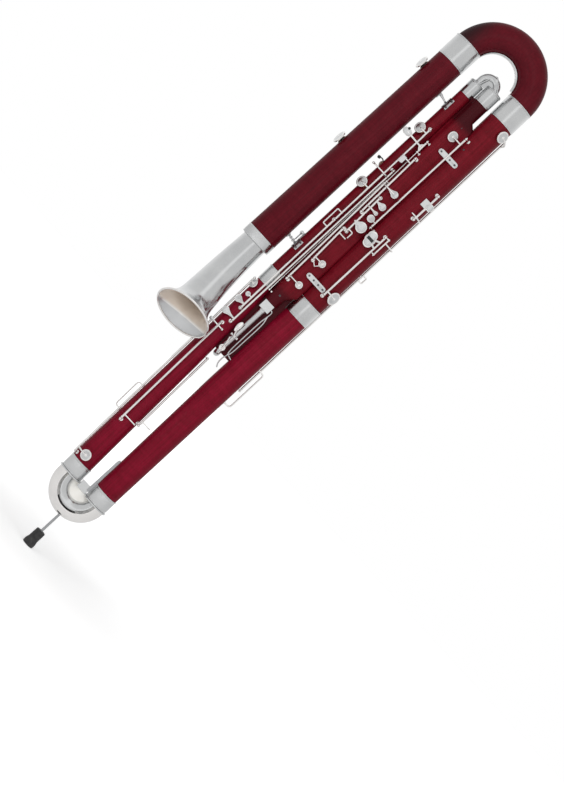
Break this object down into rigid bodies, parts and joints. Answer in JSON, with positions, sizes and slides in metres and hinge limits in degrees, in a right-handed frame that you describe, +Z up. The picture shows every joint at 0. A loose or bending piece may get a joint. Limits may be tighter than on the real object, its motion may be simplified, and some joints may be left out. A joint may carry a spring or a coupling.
{
  "type": "contrabassoon",
  "caption": "Contrabassoon of upright red maple tubes with silver bows, bell, end pin and a full set of hinged keys.",
  "frame": {"origin": "centre of the rubber tip's flat underside", "axes": "+Z up along the end pin and the tubes, -Y towards the front where the keys are, +X to the right seen from the front"},
  "size_m": [0.2786, 0.1863, 1.4882],
  "materials": {
    "wood": "clear gloss lacquer over red stained figured maple",
    "dark_wood": "clear gloss lacquer over darker red stained maple",
    "silver": "polished silver plate",
    "steel": "bright steel",
    "rubber": "matt black rubber"
  },
  "bodies": {
    "body": {"boot_guard": "silver", "boot_bow": "silver", "large_foot_ferrule": "silver", "large_joint_lower": "wood", "large_mid_ferrule": "silver", "large_joint_upper": "wood", "large_top_ferrule": "silver", "long_foot_ferrule": "silver", "long_joint_lower": "wood", "long_mid_ferrule": "silver", "long_joint_upper": "wood", "long_top_ferrule": "silver", "wing_joint": "wood", "wing_top_ferrule": "silver", "small_top_bow": "silver", "top_bow": "dark_wood", "top_bow_guard": "silver", "bell_joint_ferrule": "silver", "bell_joint": "dark_wood", "water_slide": "silver", "receiver_tube": "silver", "upper_strut": "steel", "lower_strut": "steel", "upper_tie_plate": "silver", "lower_tie_plate": "silver", "long_front_rod": "silver", "long_second_rod": "silver", "wing_outer_rod": "silver", "wing_second_rod": "silver", "wing_pair_rods": "silver", "large_inner_rod": "silver", "large_front_rod": "silver", "large_block_rod": "silver", "large_edge_rod": "silver", "long_edge_rod": "silver", "long_low_front_rod": "silver", "long_inner_rod": "silver"},
    "long_front_key": {"long_front_key": "silver"},
    "long_second_key": {"long_second_key": "silver"},
    "first_finger_key": {"first_finger_key": "silver"},
    "crossing_lever": {"crossing_lever": "silver"},
    "second_finger_key": {"second_finger_key": "silver"},
    "low_pair_key": {"low_pair_key": "silver"},
    "high_pair_key": {"high_pair_key": "silver"},
    "large_inner_key": {"large_inner_key": "silver"},
    "large_front_key": {"large_front_key": "silver"},
    "large_block_key": {"large_block_key": "silver"},
    "large_edge_key": {"large_edge_key": "silver"},
    "long_edge_key": {"long_edge_key": "silver"},
    "long_low_front_key": {"long_low_front_key": "silver"},
    "long_inner_key": {"long_inner_key": "silver"},
    "bell_side_key": {"bell_side_key": "silver"},
    "thumb_key": {"thumb_key": "silver"},
    "water_key": {"water_key": "silver"},
    "pin": {"end_pin": "steel", "rubber_tip": "rubber"},
    "pin_screw": {"end_pin_screw": "silver"},
    "tuning_slide": {"tuning_slide": "silver"},
    "bell": {"bell": "silver"},
    "strap_ring": {"strap_ring": "steel"}
  },
  "joints": [
    {"name": "long_front_key_hinge", "type": "hinge", "parent": "body", "child": "long_front_key", "pos_m": [-0.0618, -0.04762, 0.66317], "axis": [-0.0096, 0.0079, 0.9999], "range_deg": [-12, 0], "stiffness_Nm_per_rad": 0.05},
    {"name": "long_second_key_hinge", "type": "hinge", "parent": "body", "child": "long_second_key", "pos_m": [-0.05394, -0.04714, 0.62995], "axis": [-0.003, 0.0147, 0.9999], "range_deg": [-8, 0], "stiffness_Nm_per_rad": 0.05},
    {"name": "first_finger_key_hinge", "type": "hinge", "parent": "body", "child": "first_finger_key", "pos_m": [-0.04193, -0.04997, 0.77556], "axis": [-0.0249, 0.0169, 0.9995], "range_deg": [0, 7], "stiffness_Nm_per_rad": 0.05},
    {"name": "crossing_lever_hinge", "type": "hinge", "parent": "body", "child": "crossing_lever", "pos_m": [-0.04193, -0.04997, 0.77556], "axis": [-0.0249, 0.0169, 0.9995], "range_deg": [-6, 0], "stiffness_Nm_per_rad": 0.05},
    {"name": "second_finger_key_hinge", "type": "hinge", "parent": "body", "child": "second_finger_key", "pos_m": [-0.03923, -0.05188, 0.98167], "axis": [-0.0273, 0.0118, 0.9996], "range_deg": [0, 6], "stiffness_Nm_per_rad": 0.05},
    {"name": "low_pair_key_hinge", "type": "hinge", "parent": "body", "child": "low_pair_key", "pos_m": [-0.03426, -0.0536, 0.84018], "axis": [-0.0476, 0.0162, 0.9987], "range_deg": [0, 7], "stiffness_Nm_per_rad": 0.05},
    {"name": "high_pair_key_hinge", "type": "hinge", "parent": "body", "child": "high_pair_key", "pos_m": [-0.02981, -0.05391, 0.93172], "axis": [-0.0336, 0.0059, 0.9994], "range_deg": [0, 5], "stiffness_Nm_per_rad": 0.05},
    {"name": "large_inner_key_hinge", "type": "hinge", "parent": "body", "child": "large_inner_key", "pos_m": [-0.00171, -0.0497, 0.9733], "axis": [-0.0018, -0.0163, 0.9999], "range_deg": [-8, 0], "stiffness_Nm_per_rad": 0.05},
    {"name": "large_front_key_hinge", "type": "hinge", "parent": "body", "child": "large_front_key", "pos_m": [0.03527, -0.05633, 0.80478], "axis": [-0.0034, -0.0019, 1], "range_deg": [-8, 0], "stiffness_Nm_per_rad": 0.05},
    {"name": "large_block_key_hinge", "type": "hinge", "parent": "body", "child": "large_block_key", "pos_m": [0.04651, -0.05207, 1.05029], "axis": [-0.0047, 0.002, 1], "range_deg": [0, 6], "stiffness_Nm_per_rad": 0.05},
    {"name": "large_edge_key_hinge", "type": "hinge", "parent": "body", "child": "large_edge_key", "pos_m": [0.06501, -0.00742, 0.5446], "axis": [-0.0084, 0.0013, 1], "range_deg": [0, 8], "stiffness_Nm_per_rad": 0.05},
    {"name": "long_edge_key_hinge", "type": "hinge", "parent": "body", "child": "long_edge_key", "pos_m": [-0.07669, -0.03935, 0.21155], "axis": [-0.0209, 0.0108, 0.9997], "range_deg": [0, 10], "stiffness_Nm_per_rad": 0.05},
    {"name": "long_low_front_key_hinge", "type": "hinge", "parent": "body", "child": "long_low_front_key", "pos_m": [-0.06127, -0.05038, 0.326], "axis": [-0.0186, 0.0099, 0.9998], "range_deg": [-6, 0], "stiffness_Nm_per_rad": 0.05},
    {"name": "long_inner_key_hinge", "type": "hinge", "parent": "body", "child": "long_inner_key", "pos_m": [-0.02484, -0.03416, 0.34273], "axis": [-0.0254, 0.0561, 0.9981], "range_deg": [-6, 0], "stiffness_Nm_per_rad": 0.05},
    {"name": "bell_side_key_hinge", "type": "hinge", "parent": "body", "child": "bell_side_key", "pos_m": [-0.16743, 0.01221, 1.02968], "axis": [0.0036, -0.0047, 1], "range_deg": [0, 6], "stiffness_Nm_per_rad": 0.05},
    {"name": "thumb_key_hinge", "type": "hinge", "parent": "body", "child": "thumb_key", "pos_m": [-0.06853, 0.00408, 0.91329], "axis": [-0.0098, -0.0065, 0.9999], "range_deg": [-8, 0], "stiffness_Nm_per_rad": 0.05},
    {"name": "water_key_hinge", "type": "hinge", "parent": "body", "child": "water_key", "pos_m": [-0.0269, -0.0439, 0.6138], "axis": [1, 0, 0], "range_deg": [-8, 0], "stiffness_Nm_per_rad": 0.05},
    {"name": "end_pin_slide", "type": "slide", "parent": "body", "child": "pin", "axis": [0, 0, 1], "range_m": [-0.02, 0.045]},
    {"name": "pin_screw_turn", "type": "hinge", "parent": "body", "child": "pin_screw", "pos_m": [0, 0.02, 0.1386], "axis": [0, 1, 0], "range_deg": [-180, 180]},
    {"name": "tuning_slide_pull", "type": "slide", "parent": "body", "child": "tuning_slide", "axis": [0, 0, 1], "range_m": [0, 0.04]},
    {"name": "bell_pull", "type": "slide", "parent": "body", "child": "bell", "axis": [0, 0, -1], "range_m": [0, 0.018]},
    {"name": "strap_ring_swing", "type": "hinge", "parent": "body", "child": "strap_ring", "pos_m": [-0.08991, -0.02572, 0.86237], "axis": [0, 1, 0], "range_deg": [-8, 30]}
  ],
  "couplings": [
    {"joint": "low_pair_key_hinge", "follows": "high_pair_key_hinge", "ratio": 1.4}
  ]
}
